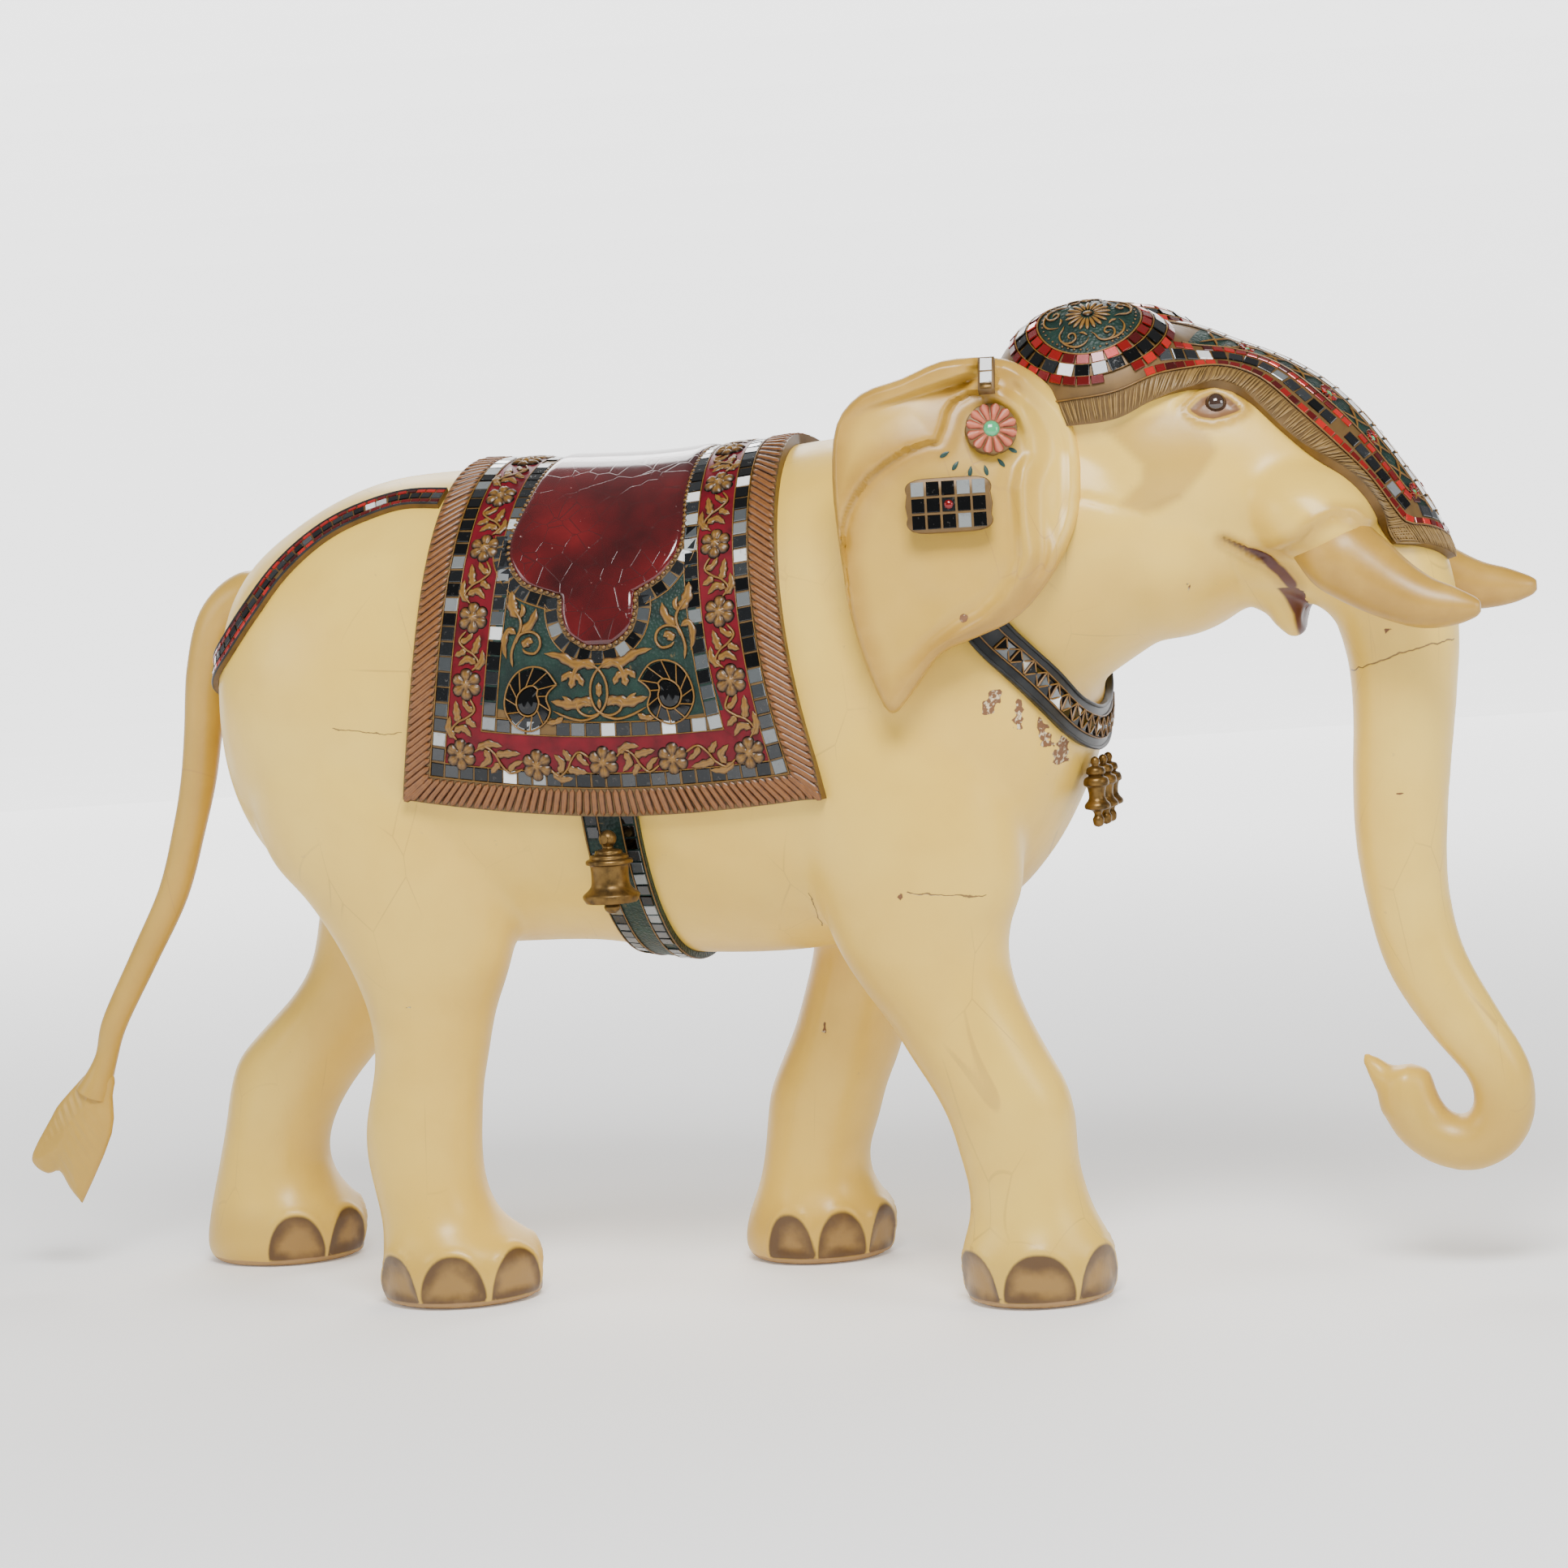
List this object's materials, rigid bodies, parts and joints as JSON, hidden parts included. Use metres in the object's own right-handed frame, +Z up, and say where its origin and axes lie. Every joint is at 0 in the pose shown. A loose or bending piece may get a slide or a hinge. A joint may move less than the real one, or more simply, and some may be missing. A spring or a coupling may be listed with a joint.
{
  "type": "carved wooden elephant figure",
  "caption": "Walking elephant carved in lacquered wood, with mirror-inlaid saddle cloth, head cap, collar and straps, and a bell that swings on a pin at each end of the girth.",
  "frame": {"origin": "middle of the footprint, on the floor under the soles", "axes": "+X the way the elephant walks, +Y its left side, +Z up"},
  "size_m": [1.5878, 0.448, 0.9412],
  "materials": {
    "cream": "satin cream lacquer",
    "ochre": "satin ochre lacquer",
    "bare_wood": "bare",
    "eye_glass": "polished, opaque",
    "painted_relief": "carved relief, painted and gilt, with mirror tiles",
    "red_lacquer": "gloss lacquer with fine cracks",
    "strap_green": "painted, with mirror tiles and gilt lines",
    "mirror_tiles": "cut mirror glass in dark mastic",
    "gilt": "gilt relief with glass tiles",
    "rose_enamel": "painted relief",
    "aged_brass": "aged"
  },
  "bodies": {
    "elephant": {"torso": "cream", "head": "cream", "trunk": "cream", "rear_leg_right": "cream", "rear_leg_left": "cream", "front_leg_right": "cream", "front_leg_left": "cream", "dowel_neck": "bare_wood", "dowel_trunk": "bare_wood", "dowel_rear_leg_right": "bare_wood", "dowel_rear_leg_left": "bare_wood", "dowel_front_leg_right": "bare_wood", "dowel_front_leg_left": "bare_wood", "tail": "ochre", "tusk_right": "ochre", "tusk_left": "ochre", "eye_right": "eye_glass", "eye_left": "eye_glass", "saddle_cloth": "painted_relief", "saddle_seat": "red_lacquer", "girth_strap": "strap_green", "crupper_strap": "mirror_tiles", "collar": "strap_green", "head_cap": "gilt", "ear_right": "ochre", "ear_left": "ochre", "ear_peg_right": "bare_wood", "ear_peg_left": "bare_wood", "ear_rosette_right": "rose_enamel", "ear_rosette_left": "rose_enamel", "ear_mirror_panel_right": "mirror_tiles", "ear_mirror_panel_left": "mirror_tiles", "ear_clip_right": "mirror_tiles", "ear_clip_left": "mirror_tiles", "collar_pendant_right": "gilt", "collar_pendant_middle": "gilt", "collar_pendant_left": "gilt", "bell_pin_right": "aged_brass", "bell_pin_left": "aged_brass"},
    "girth_bell_right": {"girth_bell_right": "aged_brass", "clapper_pin_right": "aged_brass"},
    "clapper_right": {"clapper_right": "aged_brass"},
    "girth_bell_left": {"girth_bell_left": "aged_brass", "clapper_pin_left": "aged_brass"},
    "clapper_left": {"clapper_left": "aged_brass"}
  },
  "joints": [
    {"name": "bell_swing_right", "type": "hinge", "parent": "elephant", "child": "girth_bell_right", "pos_m": [-0.0493, -0.197, 0.46], "axis": [0, 1, 0], "range_deg": [-35, 35]},
    {"name": "clapper_swing_right", "type": "hinge", "parent": "girth_bell_right", "child": "clapper_right", "pos_m": [-0.0493, -0.197, 0.4335], "axis": [0, 1, 0], "range_deg": [-20, 20]},
    {"name": "bell_swing_left", "type": "hinge", "parent": "elephant", "child": "girth_bell_left", "pos_m": [-0.0493, 0.197, 0.46], "axis": [0, 1, 0], "range_deg": [-35, 35]},
    {"name": "clapper_swing_left", "type": "hinge", "parent": "girth_bell_left", "child": "clapper_left", "pos_m": [-0.0493, 0.197, 0.4335], "axis": [0, 1, 0], "range_deg": [-20, 20]}
  ]
}
